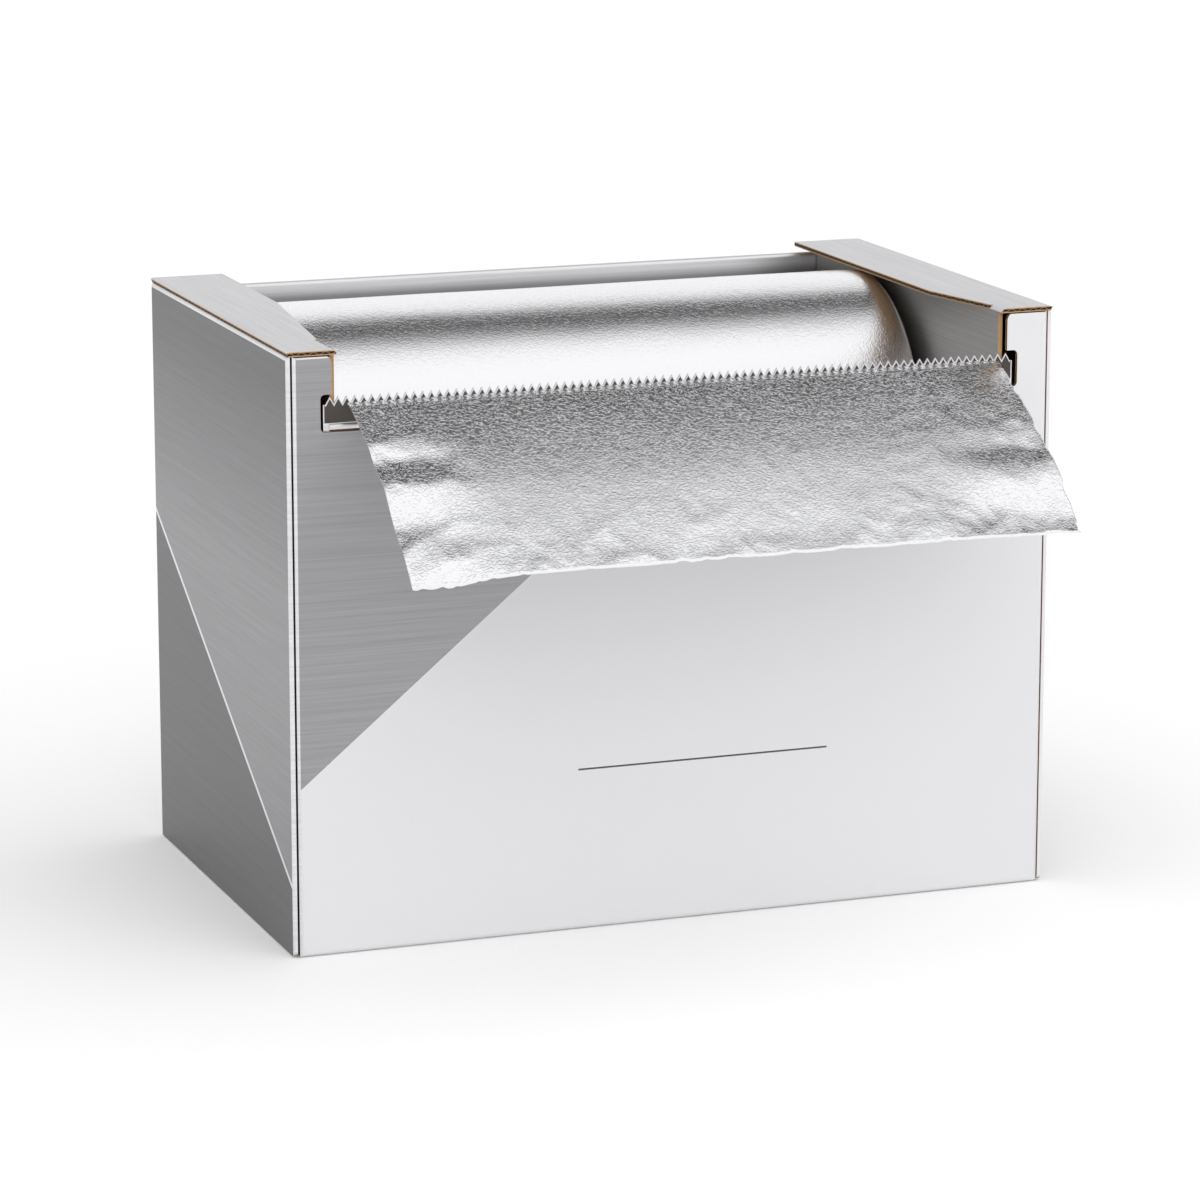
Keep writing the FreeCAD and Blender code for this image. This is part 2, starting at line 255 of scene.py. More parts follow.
def rail_print_with_painted_light(settings):
    """Silver on the back rail with painted light: a painted highlight on its rolled top, and painted shade
    that darkens it towards its foot.
    """
    material, tree, shader, place = start_material("rail_print_with_painted_light")
    axes = add_node(tree, "ShaderNodeSeparateXYZ", {0: place})
    height = add_node(tree, "ShaderNodeMapRange", {"Value": axes.outputs[2],
                                                   "From Min": CARTON_HIGH.z - RAIL_SHADE_FROM,
                                                   "From Max": CARTON_HIGH.z - RAIL_HIGHLIGHT_DOWN_TO})
    silver = add_node(tree, "ShaderNodeMix", {0: height.outputs[0], 6: settings.rail_foot_shade, 7: settings.fold_highlight},
                      data_type="RGBA")
    grain = streaks(tree, place, ALONG_PANELS)
    tree.links.new(tint(tree, grain, 0.9, 1.06, silver.outputs[2]), shader.inputs["Base Color"])
    shader.inputs["Metallic"].default_value = SILVER_METAL
    shader.inputs["Roughness"].default_value = 0.38
    return material


def painted_gap_shade():
    """Painted shade: a near black for the hollow between two layers of card, where light does not reach."""
    material, _, shader, _ = start_material("painted_gap_shade")
    shader.inputs["Base Color"].default_value = linear("#0E0A08")
    shader.inputs["Roughness"].default_value = 0.95
    return material


# Heights, as shares of the carton's height, over which the painted shade comes in on an end panel
END_SHADE_START = 0.6
END_SHADE_STOP = 0.95


def end_print(settings):
    """An end panel: two silver greys meeting at a pale slanting line, the upper one darkened towards the top
    by painted shade.
    """
    material, tree, shader, place = start_material("end_print")
    axes = add_node(tree, "ShaderNodeSeparateXYZ", {0: place})
    y, z = axes.outputs[1], axes.outputs[2]
    start = settings.end_line - settings.end_rise * CARTON_HIGH.y
    half = settings.end_line_width / 2 * math.hypot(1, settings.end_rise)
    upper = above_slant(tree, y, z, start + half, settings.end_rise, PRINT_EDGE)
    lower = above_slant(tree, y, z, start - half, settings.end_rise, PRINT_EDGE)
    grain = streaks(tree, place, ALONG_PANELS)
    height = add_node(tree, "ShaderNodeMapRange", {"Value": z, "From Min": END_SHADE_START * CARTON_HIGH.z,
                                                   "From Max": END_SHADE_STOP * CARTON_HIGH.z})
    upper_with_shade = add_node(tree, "ShaderNodeMix",
                      {0: height.outputs[0], 6: settings.end_light, 7: settings.end_top_shade}, data_type="RGBA")
    light = tint(tree, grain, 0.88, 1.08, upper_with_shade.outputs[2])
    dark = tint(tree, grain, 0.88, 1.08, settings.end_dark)
    below = add_node(tree, "ShaderNodeMix", {0: lower, 6: dark, 7: settings.white}, data_type="RGBA")
    print_colour = add_node(tree, "ShaderNodeMix", {0: upper, 6: below.outputs[2], 7: light},
                            data_type="RGBA")
    tree.links.new(print_colour.outputs[2], shader.inputs["Base Color"])
    shader.inputs["Metallic"].default_value = 0.7
    shader.inputs["Roughness"].default_value = FILM_ROUGHNESS
    return material


def kraft_liner(settings):
    """Unprinted kraft paper: brown, matt and slightly flecked with fibres."""
    material, tree, shader, place = start_material("kraft_liner")
    fibres = add_node(tree, "ShaderNodeTexNoise", {"Vector": place, "Scale": 1 / (0.8 * MM), "Detail": 4.0})
    tree.links.new(tint(tree, fibres.outputs["Fac"], 0.8, 1.15, settings.kraft), shader.inputs["Base Color"])
    shader.inputs["Roughness"].default_value = 0.85
    return material


MEDIUM_SWING = 0.3
MEDIUM_HALF = 0.11
HOLLOW_HALF = 0.29


def fluted_edge():
    """A cut through fluted card: two brown liners, with the waving medium between them and painted shade in
    the hollows.
    """
    material, tree, shader, _ = start_material("fluted_edge")
    uv = add_node(tree, "ShaderNodeUVMap", uv_map="cut").outputs[0]
    axes = add_node(tree, "ShaderNodeSeparateXYZ", {0: uv})
    u, v = axes.outputs[0], axes.outputs[1]
    turn = add_node(tree, "ShaderNodeMath", {0: u, 1: 2 * math.pi}, operation="MULTIPLY")
    wave = add_node(tree, "ShaderNodeMath", {0: turn.outputs[0]}, operation="SINE")
    medium_v = add_node(tree, "ShaderNodeMath", {0: wave.outputs[0], 1: MEDIUM_SWING, 2: 0.5},
                        operation="MULTIPLY_ADD")
    on_medium = add_node(tree, "ShaderNodeMath", {0: v, 1: medium_v.outputs[0], 2: MEDIUM_HALF},
                         operation="COMPARE")
    hollow = add_node(tree, "ShaderNodeMath", {0: v, 1: 0.5, 2: HOLLOW_HALF}, operation="COMPARE")
    # The hollows beside the medium's waves are painted near black as shade
    inside = add_node(tree, "ShaderNodeMix", {0: on_medium.outputs[0], 6: linear("#1E110A"),
                                              7: linear("#8C6A48")}, data_type="RGBA")
    card = add_node(tree, "ShaderNodeMix", {0: hollow.outputs[0], 6: linear("#C09A70"), 7: inside.outputs[2]},
                    data_type="RGBA")
    tree.links.new(card.outputs[2], shader.inputs["Base Color"])
    shader.inputs["Roughness"].default_value = 0.9
    return material


EMBOSS_DEPTH = 0.06 * MM
RIDGE_HALF = 0.12


def emboss_bump(tree, place, size, strength):
    """Worm-like ridges, as a patterned roller leaves in thin foil."""
    grain = add_node(tree, "ShaderNodeTexNoise", {"Vector": place, "Scale": 1 / size, "Detail": 1.5,
                                                  "Roughness": 0.45, "Distortion": 0.6})
    off = add_node(tree, "ShaderNodeMath", {0: grain.outputs["Fac"], 1: 0.5}, operation="SUBTRACT")
    away = add_node(tree, "ShaderNodeMath", {0: off.outputs[0]}, operation="ABSOLUTE")
    ridge = add_node(tree, "ShaderNodeMapRange",
                     {"Value": away.outputs[0], "From Min": 0.0, "From Max": RIDGE_HALF, "To Min": 1.0,
                      "To Max": 0.0}, interpolation_type="SMOOTHSTEP")
    bump = add_node(tree, "ShaderNodeBump", {"Height": ridge.outputs[0], "Strength": strength,
                                             "Distance": EMBOSS_DEPTH})
    return bump.outputs[0]


def foil_surface(name, settings, roughness, strength):
    """Bare embossed aluminium foil: a bright metal broken up by fine ridges."""
    material, tree, shader, place = start_material(name)
    shader.inputs["Base Color"].default_value = settings.bright
    shader.inputs["Metallic"].default_value = 1.0
    shader.inputs["Roughness"].default_value = roughness
    tree.links.new(emboss_bump(tree, place, settings.emboss, strength), shader.inputs["Normal"])
    return material


def foil_turn_edges(settings):
    """The edges of the wound turns: fine rings of bright and dull metal about the core."""
    material, tree, shader, place = start_material("foil_turn_edges")
    centred = add_node(tree, "ShaderNodeMapping", {"Vector": place, "Location": (0, -ROLL_Y, -ROLL_Z),
                                                   "Scale": (0, 1, 1)})
    radius = add_node(tree, "ShaderNodeVectorMath", {0: centred.outputs[0]}, operation="LENGTH")
    rings = add_node(tree, "ShaderNodeTexNoise", {"W": radius.outputs["Value"], "Scale": 1 / (0.35 * MM),
                                                  "Detail": 3.0}, noise_dimensions="1D")
    tree.links.new(tint(tree, rings.outputs["Fac"], 0.6, 1.0, linear("#DAD6D0")), shader.inputs["Base Color"])
    shader.inputs["Metallic"].default_value = 0.4
    shader.inputs["Roughness"].default_value = 0.5
    return material


# Width of the painted highlight along the teeth and the ends
HIGHLIGHT_RIM = 0.2 * MM


def blade_steel(settings, tip_x):
    """Cold-rolled steel strip: painted shade darkens its face above the rib, and a painted highlight
    brightens the rims of its teeth and ends and the rib below.
    """
    material, tree, shader, place = start_material("blade_steel")
    axes = add_node(tree, "ShaderNodeSeparateXYZ", {0: place})
    x, z = axes.outputs[0], axes.outputs[2]
    half_pitch = settings.tooth_pitch / 2
    from_valley = add_node(tree, "ShaderNodeMath", {0: x, 1: tip_x - half_pitch}, operation="SUBTRACT")
    phase = add_node(tree, "ShaderNodeMath", {0: from_valley.outputs[0], 1: settings.tooth_pitch},
                     operation="FLOORED_MODULO")
    off = add_node(tree, "ShaderNodeMath", {0: phase.outputs[0], 1: half_pitch}, operation="SUBTRACT")
    away = add_node(tree, "ShaderNodeMath", {0: off.outputs[0]}, operation="ABSOLUTE")
    flank = half_pitch / settings.tooth_height
    depth = add_node(tree, "ShaderNodeMath", {0: BLADE_HIGH.z, 1: z}, operation="SUBTRACT")
    inside = add_node(tree, "ShaderNodeMath", {0: depth.outputs[0], 1: flank}, operation="MULTIPLY")
    room = add_node(tree, "ShaderNodeMath", {0: inside.outputs[0], 1: away.outputs[0]}, operation="SUBTRACT")
    in_tooth = add_node(tree, "ShaderNodeMath", {0: room.outputs[0], 1: HIGHLIGHT_RIM}, operation="GREATER_THAN")
    middle = (BLADE_LOW.x + BLADE_HIGH.x) / 2
    half_length = (BLADE_HIGH.x - BLADE_LOW.x) / 2
    in_ends = add_node(tree, "ShaderNodeMath", {0: x, 1: middle, 2: half_length - HIGHLIGHT_RIM}, operation="COMPARE")
    above_rib = add_node(tree, "ShaderNodeMath", {0: z, 1: settings.rib_top}, operation="GREATER_THAN")
    both = add_node(tree, "ShaderNodeMath", {0: in_tooth.outputs[0], 1: in_ends.outputs[0]},
                    operation="MULTIPLY")
    # Painted shade on the face inside the rims of the teeth and ends, above the rib
    painted_shade_face = add_node(tree, "ShaderNodeMath", {0: both.outputs[0], 1: above_rib.outputs[0]},
                     operation="MULTIPLY")
    # Light grey for the painted highlight, dark brown-grey for the painted shade
    steel = add_node(tree, "ShaderNodeMix",
                     {0: painted_shade_face.outputs[0], 6: linear("#E2E2E4"), 7: linear("#544F4B")}, data_type="RGBA")
    grain = streaks(tree, place, (1 / (9 * MM), 1 / (9 * MM), 1 / (0.12 * MM)))
    tree.links.new(tint(tree, grain, 0.9, 1.05, steel.outputs[2]), shader.inputs["Base Color"])
    shader.inputs["Metallic"].default_value = 1.0
    shader.inputs["Roughness"].default_value = 0.28
    return material


def wound_core_card():
    """Grey-brown card of the core, flecked with fibres."""
    material, tree, shader, place = start_material("wound_core_card")
    fibres = add_node(tree, "ShaderNodeTexNoise", {"Vector": place, "Scale": 1 / (0.7 * MM), "Detail": 4.0})
    card = tint(tree, fibres.outputs["Fac"], 0.8, 1.15, linear("#9C8468"))
    tree.links.new(card, shader.inputs["Base Color"])
    shader.inputs["Roughness"].default_value = 0.85
    return material


def merged_copy(node):
    """A copy of a node's mesh with its triangles joined up into whole flat faces."""
    bm = bmesh.new()
    bm.from_mesh(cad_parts[node].data)
    bmesh.ops.remove_doubles(bm, verts=bm.verts, dist=0.001 * MM)
    bmesh.ops.dissolve_limit(bm, angle_limit=math.radians(0.5), verts=bm.verts, edges=bm.edges)
    return bm


def make_piece(bm, name, nodes, materials):
    """Turns a finished mesh into a piece that stands for its nodes."""
    mesh = bpy.data.meshes.new(name)
    bm.to_mesh(mesh)
    bm.free()
    for material in materials:
        mesh.materials.append(material)
    piece = bpy.data.objects.new(name, mesh)
    bpy.context.scene.collection.objects.link(piece)
    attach(piece, "root")
    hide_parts(*nodes)
    return piece


def dress_card(bm, rule, settings):
    """Gives each face its material by place, and unrolls the cut edges along and across the card."""
    layer = bm.loops.layers.uv.new("cut")
    for face in bm.faces:
        index, axis, start = rule(face.calc_center_median(), face.normal)
        face.material_index = index
        if axis is None:
            continue
        for loop in face.loops:
            spot = loop.vert.co
            along = sum(spot[i] for i in range(3) if i != axis)
            loop[layer].uv = (along / settings.flute, (spot[axis] - start) / settings.board)


def soften_cuts(bm, width, rim=-1):
    """Rounds every sharp edge a little, as the die and the folding leave it, in the material rim."""
    sharp = [e for e in bm.edges if len(e.link_faces) == 2 and e.calc_face_angle() > math.radians(50)]
    bmesh.ops.bevel(bm, geom=sharp, offset=width, offset_type="OFFSET", segments=2, profile=0.5,
                    affect="EDGES", material=rim, clamp_overlap=True)


def smooth_card(piece):
    """Smooth folds and crisp cuts, with flat panels that shade flat."""
    piece.data.shade_smooth()
    piece.data.set_sharp_from_angle(angle=math.radians(50))
    weighted = piece.modifiers.new("flat_panels", "WEIGHTED_NORMAL")
    weighted.keep_sharp = True


# The fold slot holds a painted highlight and the gap slot holds painted shade
FRONT, END, SILVER, RAIL, LINER, CUT, FOLD_HIGHLIGHT, GAP_SHADE = range(8)


NEAR = 0.05 * MM
FACING = 0.35
SQUARE = 0.7


def carton_materials(settings):
    """The materials of the carton, in the order of the names above."""
    return [front_print(settings), end_print(settings), silver_print("back_print", settings.strip_silver),
            rail_print_with_painted_light(settings), kraft_liner(settings), fluted_edge(),
            silver_print("painted_fold_highlight", settings.fold_highlight), painted_gap_shade()]


def carton_rule(settings):
    """Tells which material a face of the carton has, and for a cut edge its thickness axis and start too.

    A face is known by its centre c and normal n. FACING and SQUARE are how far a normal points one way.
    """
    low, high, board = CARTON_LOW, CARTON_HIGH, settings.board
    inner_x = high.x - board

    def front_edge(side, out, at_end):
        """The folds at the front's two sides and the end panels' front edges beside them: on the left a
        painted highlight, with painted shade on the fold's facets that face the end panel.
        """
        if side > 0:
            return FRONT
        if at_end:
            return FOLD_HIGHLIGHT
        return GAP_SHADE if out > SQUARE else FOLD_HIGHLIGHT

    def rule(c, n):
        side = 1 if c.x > 0 else -1
        out = n.x * side
        at_end = abs(c.x) > inner_x + NEAR
        in_end = abs(c.x) > inner_x - board - NEAR
        if n.z > SQUARE and c.z > high.z - NEAR:
            if in_end:
                return CUT, 0, side * inner_x
            return CUT, 1, low.y
        if n.z < -SQUARE and c.z < board:
            return (CUT, 0, side * inner_x) if at_end else (FRONT, None, 0)
        # The end panels' rounded tops take the painted fold highlight
        if n.z > 0.12 and out > -0.2 and in_end and c.z > high.z - 1.5 * board:
            return FOLD_HIGHLIGHT, None, 0
        if c.y < low.y + 0.9 * board and in_end and (n.y < -0.2 if at_end else out > 0.12):
            return front_edge(side, out, at_end), None, 0
        # Tab tops under the strips get painted shade; the left tab's rounding gets the painted fold highlight
        if n.z > 0.15 and n.y < -0.05 and c.y < low.y + board and c.z > settings.sill + 5 * MM:
            return (GAP_SHADE if n.z > 0.6 else FRONT if side > 0 else FOLD_HIGHLIGHT), None, 0
        in_front = low.y - NEAR < c.y < low.y + board + NEAR
        if in_front and c.z > settings.sill - NEAR and abs(n.y) < 0.6 and abs(c.x) < high.x - 4 * board:
            return CUT, 1, low.y
        if abs(n.x) > FACING and abs(c.x) > high.x - 0.5 * board and out > 0:
            return END, None, 0
        if n.y < -FACING and c.y < low.y + 0.9 * board:
            return FRONT, None, 0
        if n.y > FACING and c.y > high.y - 0.5 * board:
            return SILVER, None, 0
        in_rail = c.z > high.z - settings.rail_hem - 2 * board and c.y > high.y - 2.5 * board
        if in_rail and abs(c.x) < inner_x:
            return RAIL, None, 0
        if abs(n.x) < 0.5 and in_end and abs(c.x) < inner_x + NEAR:
            return CUT, 0, side * (inner_x - board)
        if n.y < -FACING and c.y < low.y + 3 * board:
            return FRONT, None, 0
        return LINER, None, 0

    return rule


def make_carton(settings):
    """The folded carton in its print."""
    bm = merged_copy("carton_body")
    dress_card(bm, carton_rule(settings), settings)
    # The rounded cut rims take the painted fold highlight
    soften_cuts(bm, settings.cut_edge, FOLD_HIGHLIGHT)
    piece = make_piece(bm, "carton", ["carton_body"], carton_materials(settings))
    smooth_card(piece)


STRIP, SHADED_WALL, BROWN, EDGE = range(4)


def fitting_rule(settings, high, wall_x, side):
    """The same for an end fitting: print above and towards the roll, brown below, cut edges all round."""
    board = settings.board
    top = high.z - board

    def rule(c, n):
        if n.z > 0.5 and c.z > top:
            return STRIP, None, 0
        if abs(n.z) < 0.5 and c.z > top - NEAR:
            if abs(c.x) < abs(wall_x) - NEAR:
                return EDGE, 2, top
            if n.x * side < -0.5:
                return STRIP, None, 0
            return EDGE, 2, top - 0.3 * board * (n.x * side > 0.5)
        # The bearing wall's inner face takes the darker silver, which is painted shade
        if n.x * side < -0.5:
            return SHADED_WALL, None, 0
        if abs(n.y) > 0.5 or abs(n.x) < 0.5 and c.z > 2 * board:
            return EDGE, 0, c.x - board / 2
        return BROWN, None, 0

    return rule


def make_end_card(name, node, side, settings, materials):
    """One end fitting: its strip, tongue, bearing wall and foot."""
    bm = merged_copy(node)
    wall = max((f for f in bm.faces if f.normal.x * side < -0.9), key=lambda f: f.calc_area())
    wall_x = wall.calc_center_median().x
    dress_card(bm, fitting_rule(settings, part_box(node)[1], wall_x, side), settings)
    soften_cuts(bm, settings.cut_edge)
    piece = make_piece(bm, name, [node], materials)
    smooth_card(piece)


def make_blade(settings):
    """The toothed steel strip."""
    bm = merged_copy("cutter_blade")
    tip_x = min(v.co.x for v in bm.verts if v.co.z > BLADE_HIGH.z - 0.01 * MM)
    piece = make_piece(bm, "blade", ["cutter_blade"], [blade_steel(settings, tip_x)])
    smooth_card(piece)


def make_core():
    """The wound card core."""
    bm = merged_copy("core_tube")
    piece = make_piece(bm, "core", ["core_tube"], [wound_core_card()])
    smooth_card(piece)


ROLL_STEPS = 192
ROLL_COLUMNS = 160
TURN_RINGS = 24
SHOULDER_STEPS = 5
SHOULDER_ALONG = 1.1 * MM
SHOULDER_INWARD = 0.8 * MM
CORE_GAP = 0.05 * MM


def roll_profile(bm, left, right):
    """The outline of the wound turns in the plane of the axis: an end, the outer turn, the other end."""
    inner = CORE_RADIUS + CORE_GAP
    along, inward = SHOULDER_ALONG, SHOULDER_INWARD
    points = []
    for end, away, seed in ((left, 1, 3.0), (right, -1, 9.0)):
        rings = []
        for i in range(TURN_RINGS):
            ripple = noise.noise(Vector((i * 1.7, seed, 0.0)))
            radius = inner + (ROLL_RADIUS - inward - inner) * i / TURN_RINGS
            rings.append((end + away * (0.22 + 0.2 * ripple) * MM, radius))
        for i in range(SHOULDER_STEPS):
            turn = math.pi / 2 * i / SHOULDER_STEPS
            radius = ROLL_RADIUS - inward * (1 - math.sin(turn))
            rings.append((end + away * along * (1 - math.cos(turn)), radius))
        points += rings if away > 0 else rings[::-1]
        if away > 0:
            first, last = left + along, right - along
            points += [(first + (last - first) * i / ROLL_COLUMNS, ROLL_RADIUS)
                       for i in range(ROLL_COLUMNS + 1)]
    verts = [bm.verts.new((x, ROLL_Y, ROLL_Z + r)) for x, r in points]
    edges = [bm.edges.new(pair) for pair in zip(verts, verts[1:])]
    return edges + [bm.edges.new((verts[-1], verts[0]))]


DENT_LENGTH = 16 * MM
DENT_WIDTH = 9 * MM
DENT_DEPTH = 0.06 * MM


def make_foil_turns(settings, surface, ends):
    """The wound turns: a smooth outer turn with slight dents, and ends where the turns' edges show."""
    left = FOIL_LOW.x
    right = FOIL_HIGH.x - settings.drift
    bm = bmesh.new()
    profile = roll_profile(bm, left, right)
    geometry = profile + list(bm.verts)
    bmesh.ops.spin(bm, geom=geometry, cent=(0, ROLL_Y, ROLL_Z), axis=(1, 0, 0), dvec=(0, 0, 0),
                   angle=2 * math.pi, steps=ROLL_STEPS, use_merge=True, use_duplicate=False)
    bmesh.ops.remove_doubles(bm, verts=bm.verts, dist=0.002 * MM)
    bmesh.ops.recalc_face_normals(bm, faces=bm.faces)
    for vert in bm.verts:
        out = Vector((0, vert.co.y - ROLL_Y, vert.co.z - ROLL_Z))
        if out.length > ROLL_RADIUS - 0.1 * MM:
            dent = noise.noise(Vector((vert.co.x / DENT_LENGTH, vert.co.y / DENT_WIDTH,
                                       vert.co.z / DENT_WIDTH)))
            vert.co -= out.normalized() * (DENT_DEPTH + DENT_DEPTH * dent)
    for face in bm.faces:
        face.material_index = 1 if abs(face.normal.x) > 0.25 else 0
        face.smooth = True
    piece = make_piece(bm, "foil_turns", ["foil_roll"], [surface, ends])
    piece.data.set_sharp_from_angle(angle=math.radians(40))


# Rows of the sheet in its riser, its bend over the teeth, the band just beyond and the flap
SHEET_SPANS = (12, 8, 10, 56)
SHEET_COLUMNS = 480
BAND_REACH = 1.8 * MM
BEND_REACH = 0.55 * MM
SHEET_HALF = 0.15 * MM
CROSSING_GAP = 0.1 * MM
CROSSING_RISE = 0.4 * MM
ARCH_SKEW = 0.6


class SheetLine:
    """The line that the sheet follows in the plane across the roll, measured from the teeth."""

    def __init__(self, settings):
        self.rise = settings.rise
        half = SHEET_HALF
        top = Vector((BLADE_HIGH.y + CROSSING_GAP, BLADE_HIGH.z - settings.tooth_height + CROSSING_RISE))
        axis = Vector((ROLL_Y, ROLL_Z))
        away = top - axis
        turn = math.atan2(away.y, away.x) + math.acos(ROLL_RADIUS / away.length)
        outward = Vector((math.cos(turn), math.sin(turn)))
        self.foot = axis + outward * (ROLL_RADIUS - half)
        riser_end = top - outward * half
        self.riser = (riser_end - self.foot).normalized()
        start = Vector((BLADE_HIGH.y - settings.blade_thickness - CROSSING_GAP, top.y + 2 * half))
        end = Vector((FOIL_LOW.y, start.y - settings.drop))
        self.flap = (end - start).normalized()
        up = Vector((self.flap.y, -self.flap.x))
        start -= up * half
        gap = start - riser_end
        cross = self.riser.x * self.flap.y - self.riser.y * self.flap.x
        reach = (gap.x * self.flap.y - gap.y * self.flap.x) / cross
        self.corner = riser_end + self.riser * reach
        self.riser_length = (self.corner - self.foot).length
        self.flap_length = (end - start).length + (start - self.corner).length

    def at(self, s):
        """The point at a distance from the teeth, negative towards the roll."""
        if s <= -BEND_REACH:
            return self.corner + self.riser * s
        if s >= BEND_REACH:
            share = (s - BEND_REACH) / (self.flap_length - BEND_REACH)
            up = Vector((self.flap.y, -self.flap.x))
            arch = share ** ARCH_SKEW
            return self.corner + self.flap * s + up * (4 * self.rise * arch * (1 - arch))
        share = (s + BEND_REACH) / (2 * BEND_REACH)
        first = self.corner - self.riser * BEND_REACH
        last = self.corner + self.flap * BEND_REACH
        return first * (1 - share) ** 2 + self.corner * 2 * share * (1 - share) + last * share ** 2

    def normal(self, s):
        """The direction off the sheet's upper side at a distance from the teeth."""
        step = 0.05 * MM
        run = (self.at(s + step) - self.at(s - step)).normalized()
        return Vector((run.y, -run.x))


def ease(value, low, high):
    """A smooth step from 0 at low to 1 at high."""
    share = min(max((value - low) / (high - low), 0), 1)
    return share * share * (3 - 2 * share)


def crease(x, s, size, seed):
    """Folded ridges and hollows between -1 and 1, about as far apart as size."""
    return 1 - 2.4 * abs(noise.noise(Vector((x / size, s / size, seed))))


BROAD_ALONG, BROAD_DOWN = 26, 18
FOLD_SIZE = 11
SMALL_FOLD = 4.6
LEFT_SAG_START = 12
LEFT_SAG_RUN = 17
LEFT_WAVE = 15
RIGHT_WAVE_START = 24
RIGHT_WAVE = 22


def crumple(u, s, length, settings):
    """How far the sheet stands off its plain line: flat at the teeth, folded near its free edges."""
    x = u * (FOIL_HIGH.x - FOIL_LOW.x) / MM
    s_mm = s / MM
    free = ease(s_mm, 2.5, 16)
    sides = max(1 - ease(u, 0.0, 0.2), ease(u, 0.82, 1.0))
    tip = ease(s / length, 0.6, 1.0)
    edges = min(1, sides + 0.55 * tip)
    broad = noise.noise(Vector((x / BROAD_ALONG, s_mm / BROAD_DOWN, 4.0)))
    folds = crease(x + 0.5 * s_mm, s_mm, FOLD_SIZE, 1.0)
    small = crease(x, s_mm, SMALL_FOLD, 7.0)
    height = 0.55 * broad * (0.4 + tip) + edges * (0.42 * folds + 0.13 * small) + 0.05 * small
    at_left = (1 - ease(u, 0.02, 0.16)) * ease(s_mm, 8, 16)
    left_wave = math.sin(2 * math.pi * (s_mm - LEFT_SAG_START) / LEFT_WAVE)
    left_sag = at_left * (max(s_mm - LEFT_SAG_START, 0) / LEFT_SAG_RUN + 0.3 * left_wave)
    right_wave = math.sin(2 * math.pi * (s_mm - RIGHT_WAVE_START) / RIGHT_WAVE)
    right_sag = ease(u, 0.8, 0.93) * ease(s_mm, 20, 27) * right_wave
    return settings.crumple * free * height - (left_sag - 0.6 * right_sag) * MM


def nicks(place_mm, seed, size):
    """Small torn notches along an edge, from 0 to 1."""
    coarse = noise.noise(Vector((place_mm / size, seed, 0.5)))
    fine = noise.noise(Vector((place_mm, seed, 2.5)))
    return max(0.0, coarse + 0.5 * fine)


def sheet_distance(row, line, torn):
    """The distance from the teeth of a row of the sheet: close rows at the bend, wider ones beyond it."""
    stops = (-line.riser_length, -BEND_REACH, BEND_REACH, BAND_REACH, torn)
    part = 0
    while part < len(SHEET_SPANS) - 1 and row > SHEET_SPANS[part]:
        row -= SHEET_SPANS[part]
        part += 1
    return stops[part] + (stops[part + 1] - stops[part]) * row / SHEET_SPANS[part]


def toothed(x, s, tip_x, settings):
    """How far the foil sinks between the teeth and is pressed down in front of them."""
    phase = math.cos(2 * math.pi * (x - tip_x) / settings.tooth_pitch)
    sunk = settings.valley * (1 + 0.3 * phase) * (1 - ease(abs(s) / MM, 0.4, 1.6))
    pressed = min(max((s / MM - 0.25) / (0.85 + 0.25 * phase), 0), 1)
    return sunk, settings.fall * pressed * (1 - ease(s / MM, 4, 26))


def make_foil_sheet(settings, surface):
    """The drawn-off sheet: up from the roll, over the teeth and out to its torn free end."""
    line = SheetLine(settings)
    tip_x = BLADE_LOW.x + settings.tooth_pitch / 2
    width = FOIL_HIGH.x - FOIL_LOW.x - settings.drift
    rows = sum(SHEET_SPANS)
    bm = bmesh.new()
    bmesh.ops.create_grid(bm, x_segments=SHEET_COLUMNS, y_segments=rows, size=0.5)
    for vert in bm.verts:
        u = vert.co.x + 0.5
        row = (vert.co.y + 0.5) * rows
        torn = line.flap_length - (0.2 + 0.55 * nicks(u * width / MM, 3.0, 2.3)) * MM
        s = sheet_distance(row, line, torn)
        point = line.at(s)
        normal = line.normal(s)
        drawn = min(1, 1 + s / line.riser_length)
        x = FOIL_LOW.x + settings.drift * drawn + width * u
        lift = 0.0
        if s > 0:
            lift = crumple(u, s, line.flap_length, settings)
            ragged = ease(u, 0.97, 1.0) * ease(s / MM, 4, 10)
            x -= 0.9 * MM * ragged * nicks(s / MM, 11.0, 2.6)
            x += 0.35 * MM * (1 - ease(u, 0.0, 0.04)) * math.sin(math.pi * s / line.flap_length)
        elif drawn < 0.97:
            lift = 0.25 * MM * math.sin(math.pi * drawn) * noise.noise(Vector((u * 7, drawn * 3, 8.0)))
        sunk, pressed = toothed(x, s, tip_x, settings)
        lift = lift - sunk - pressed
        vert.co = (x, point.x + normal.x * lift, point.y + normal.y * lift)
    bmesh.ops.recalc_face_normals(bm, faces=bm.faces)
    for face in bm.faces:
        face.smooth = True
    piece = make_piece(bm, "foil_sheet", ["foil_roll"], [surface])
    solid = piece.modifiers.new("thickness", "SOLIDIFY")
    solid.thickness = settings.thickness
    solid.offset = 0.0


CAMERA_PLACE = (-0.30195, -0.81955, 0.24490)


def add_camera(settings):
    """The camera, aimed as the photograph is taken."""
    data = bpy.data.cameras.new("camera")
    data.lens = settings.lens
    data.sensor_width = 36.0
    data.clip_start = 0.01
    camera = bpy.data.objects.new("camera", data)
    camera.location = CAMERA_PLACE
    camera.rotation_euler = (math.pi / 2 - settings.elevation, 0, -settings.azimuth)
    bpy.context.scene.collection.objects.link(camera)
    bpy.context.scene.camera = camera


